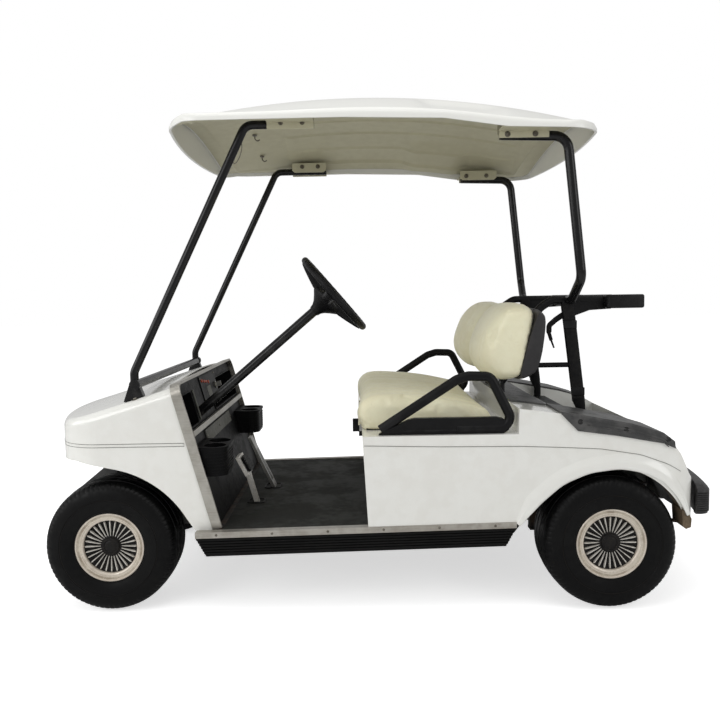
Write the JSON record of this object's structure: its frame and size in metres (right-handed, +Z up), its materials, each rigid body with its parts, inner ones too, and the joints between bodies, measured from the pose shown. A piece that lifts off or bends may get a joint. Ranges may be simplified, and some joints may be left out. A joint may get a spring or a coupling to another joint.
{
  "type": "golf cart",
  "caption": "Two-seat golf cart with canopy, cream bench seat, bag rack, steered front wheels and four turf tyres.",
  "frame": {"origin": "on the ground under the middle of the cart's length and width", "axes": "+X towards the rear, +Y towards the cart's right side, +Z up"},
  "size_m": [2.3249, 1.194, 1.7717],
  "materials": {
    "tyre_rubber": "matt",
    "rim_steel": "satin",
    "wheel_cover": "satin silver and cream",
    "chassis_aluminium": "mill",
    "chassis_black": "satin",
    "power_unit_grey": "satin",
    "black_paint": "gloss",
    "black_plastic": "moulded",
    "grey_plastic": "moulded, weathered",
    "floor_mat": "ribbed mat",
    "satin_aluminium": "satin",
    "white_body": "gloss",
    "pedal_steel": "worn",
    "cream_vinyl": "sewn vinyl",
    "roof_white": "gloss",
    "roof_liner": "beige liner"
  },
  "bodies": {
    "chassis": {"frame_rails": "chassis_aluminium", "front_axle": "chassis_black", "rear_axle": "chassis_black", "rear_spring_left": "chassis_black", "rear_spring_right": "chassis_black", "power_unit": "power_unit_grey", "steering_column": "black_paint", "floor_pan": "chassis_aluminium", "floor_mat": "floor_mat", "sill_trims": "satin_aluminium", "rocker_panels": "black_plastic", "front_cowl": "white_body", "dash_trim": "satin_aluminium", "dash_panel": "black_plastic", "cup_holders": "black_plastic", "brake_pedal": "pedal_steel", "accelerator_pedal": "pedal_steel", "rear_body": "white_body", "fender_guards": "grey_plastic", "bag_well": "black_plastic", "deck_cover": "grey_plastic", "rear_bumper": "black_plastic", "front_bumper": "black_plastic", "backrest_cushion": "cream_vinyl", "backrest_shell": "black_plastic", "backrest_supports": "black_paint", "direction_lever": "black_plastic", "seat_hinges": "pedal_steel", "armrest_left": "black_plastic", "armrest_right": "black_plastic", "roof": "roof_white", "front_roof_frame": "black_paint", "rear_roof_frame": "black_paint", "roof_gussets": "roof_liner", "bag_rack": "black_plastic"},
    "seat_lid": {"seat_board": "black_plastic", "seat_cushion": "cream_vinyl"},
    "steering_wheel": {"steering_wheel": "black_plastic"},
    "knuckle_left": {"knuckle_left": "chassis_black"},
    "knuckle_right": {"knuckle_right": "chassis_black"},
    "tie_rod": {"tie_rod": "chassis_black"},
    "wheel_front_left": {"tyre_front_left": "tyre_rubber", "rim_front_left": "rim_steel", "wheel_cover_front_left": "wheel_cover"},
    "wheel_front_right": {"tyre_front_right": "tyre_rubber", "rim_front_right": "rim_steel", "wheel_cover_front_right": "wheel_cover"},
    "wheel_rear_left": {"tyre_rear_left": "tyre_rubber", "rim_rear_left": "rim_steel", "wheel_cover_rear_left": "wheel_cover"},
    "wheel_rear_right": {"tyre_rear_right": "tyre_rubber", "rim_rear_right": "rim_steel", "wheel_cover_rear_right": "wheel_cover"}
  },
  "joints": [
    {"name": "steer_left", "type": "hinge", "parent": "chassis", "child": "knuckle_left", "pos_m": [-0.9095, -0.305, 0.222], "axis": [0, 0, 1], "range_deg": [-27, 27]},
    {"name": "steer_right", "type": "hinge", "parent": "chassis", "child": "knuckle_right", "pos_m": [-0.9095, 0.305, 0.222], "axis": [0, 0, 1], "range_deg": [-27.5, 27.5]},
    {"name": "tie_rod_pivot", "type": "hinge", "parent": "knuckle_left", "child": "tie_rod", "pos_m": [-0.7895, -0.305, 0.16], "axis": [0, 0, 1], "range_deg": [-28, 28]},
    {"name": "steering_wheel_turn", "type": "hinge", "parent": "chassis", "child": "steering_wheel", "pos_m": [-0.1495, -0.27, 1.057], "axis": [0.7638, 0, 0.6455], "range_deg": [-245, 245]},
    {"name": "seat_lid", "type": "hinge", "parent": "chassis", "child": "seat_lid", "pos_m": [-0.0625, 0, 0.59], "axis": [0, -1, 0], "range_deg": [0, 55]},
    {"name": "spin_front_left", "type": "hinge", "parent": "knuckle_left", "child": "wheel_front_left", "pos_m": [-0.9095, -0.438, 0.222], "axis": [0, 1, 0], "continuous": true},
    {"name": "spin_front_right", "type": "hinge", "parent": "knuckle_right", "child": "wheel_front_right", "pos_m": [-0.9095, 0.438, 0.222], "axis": [0, 1, 0], "continuous": true},
    {"name": "spin_rear_left", "type": "hinge", "parent": "chassis", "child": "wheel_rear_left", "pos_m": [0.7545, -0.489, 0.222], "axis": [0, 1, 0], "continuous": true},
    {"name": "spin_rear_right", "type": "hinge", "parent": "chassis", "child": "wheel_rear_right", "pos_m": [0.7545, 0.489, 0.222], "axis": [0, 1, 0], "continuous": true}
  ],
  "couplings": [
    {"joint": "steer_right", "follows": "steer_left", "ratio": 1},
    {"joint": "tie_rod_pivot", "follows": "steer_left", "ratio": -1},
    {"joint": "steering_wheel_turn", "follows": "steer_left", "ratio": 9}
  ]
}
